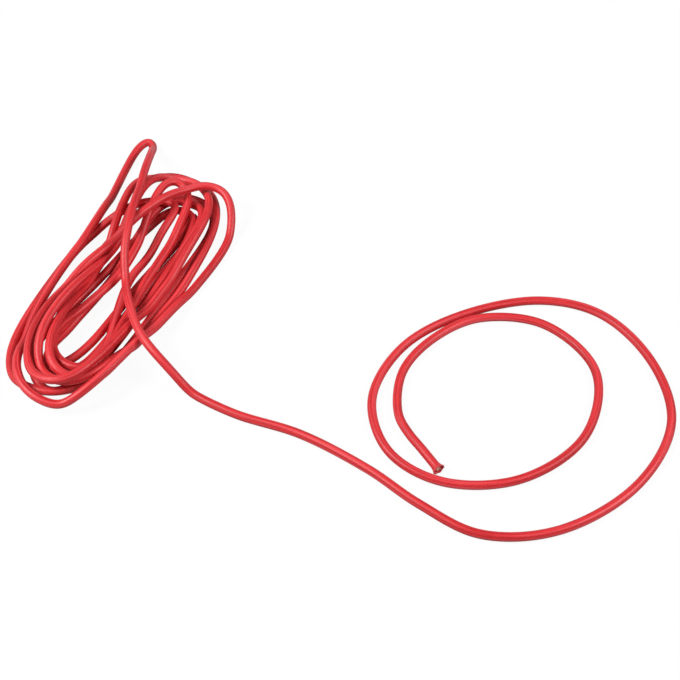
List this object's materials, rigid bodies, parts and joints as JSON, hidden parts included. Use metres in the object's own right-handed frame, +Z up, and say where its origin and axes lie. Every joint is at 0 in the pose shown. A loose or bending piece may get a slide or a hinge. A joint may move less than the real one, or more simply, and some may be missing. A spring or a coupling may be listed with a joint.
{
  "type": "bungee cord",
  "caption": "Thin elastic shock cord with a braided red sheath, lying as an untied hank of long loops, with a free stretch that crosses the hank and ends in an open spiral",
  "frame": {"origin": "on the surface that the cord lies on, under the middle of the cord's outline", "axes": "+X from the hank towards the spiral, the longest extent; +Y away from the viewer of the picture; +Z up, the shortest extent"},
  "size_m": [0.4008, 0.3196, 0.0322],
  "materials": {
    "braided_sheath": "satin",
    "melted_end": "satin",
    "rubber_core": "matte"
  },
  "bodies": {
    "root": {"hank_sheath": "braided_sheath", "free_stretch_sheath": "braided_sheath", "hank_core": "rubber_core", "free_stretch_core": "rubber_core", "start_end_mouth": "melted_end", "free_end_mouth": "melted_end", "start_end_strand_1": "rubber_core", "start_end_strand_2": "rubber_core", "start_end_strand_3": "rubber_core", "start_end_strand_4": "rubber_core", "start_end_strand_5": "rubber_core", "start_end_strand_6": "rubber_core", "start_end_strand_7": "rubber_core", "free_end_strand_1": "rubber_core", "free_end_strand_2": "rubber_core", "free_end_strand_3": "rubber_core", "free_end_strand_4": "rubber_core", "free_end_strand_5": "rubber_core", "free_end_strand_6": "rubber_core", "free_end_strand_7": "rubber_core"}
  },
  "joints": []
}
